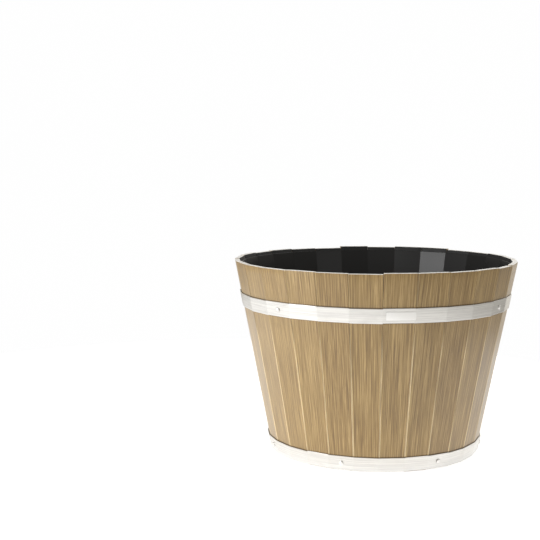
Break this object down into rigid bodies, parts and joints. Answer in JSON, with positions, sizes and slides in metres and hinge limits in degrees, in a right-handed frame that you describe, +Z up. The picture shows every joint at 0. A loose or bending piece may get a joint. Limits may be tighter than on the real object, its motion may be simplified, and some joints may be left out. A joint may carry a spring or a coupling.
{
  "type": "barrel planter",
  "caption": "Tapered round planter of upright wooden staves held by two flat metal hoops, with a base board and a black liner pot inside.",
  "frame": {"origin": "middle of the foot ring, on the ground", "axes": "+Z up along the planter's axis, -Y towards the front stave, which carries the blank label, +X to the right seen from the front"},
  "size_m": [0.3974, 0.3979, 0.2702],
  "materials": {
    "stave_wood": "light oak tone, fine upright grain, satin",
    "base_wood": "plain board, matt",
    "liner_plastic": "black, satin",
    "hoop_metal": "bright brushed strip",
    "screw_steel": "plated, satin",
    "label_white": "blank white plate"
  },
  "bodies": {
    "root": {"stave_01": "stave_wood", "stave_02": "stave_wood", "stave_03": "stave_wood", "stave_04": "stave_wood", "stave_05": "stave_wood", "stave_06": "stave_wood", "stave_07": "stave_wood", "stave_08": "stave_wood", "stave_09": "stave_wood", "stave_10": "stave_wood", "stave_11": "stave_wood", "stave_12": "stave_wood", "stave_13": "stave_wood", "stave_14": "stave_wood", "stave_15": "stave_wood", "stave_16": "stave_wood", "stave_17": "stave_wood", "stave_18": "stave_wood", "stave_19": "stave_wood", "stave_20": "stave_wood", "stave_21": "stave_wood", "stave_22": "stave_wood", "stave_23": "stave_wood", "stave_24": "stave_wood", "stave_25": "stave_wood", "stave_26": "stave_wood", "stave_27": "stave_wood", "stave_28": "stave_wood", "base_board": "base_wood", "liner": "liner_plastic", "upper_hoop": "hoop_metal", "upper_hoop_screw_1": "screw_steel", "upper_hoop_screw_2": "screw_steel", "upper_hoop_screw_3": "screw_steel", "upper_hoop_screw_4": "screw_steel", "upper_hoop_screw_5": "screw_steel", "upper_hoop_screw_6": "screw_steel", "upper_hoop_screw_7": "screw_steel", "lower_hoop": "hoop_metal", "lower_hoop_screw_1": "screw_steel", "lower_hoop_screw_2": "screw_steel", "lower_hoop_screw_3": "screw_steel", "lower_hoop_screw_4": "screw_steel", "lower_hoop_screw_5": "screw_steel", "lower_hoop_screw_6": "screw_steel", "lower_hoop_screw_7": "screw_steel", "lower_hoop_screw_8": "screw_steel", "blank_label": "label_white"}
  },
  "joints": []
}
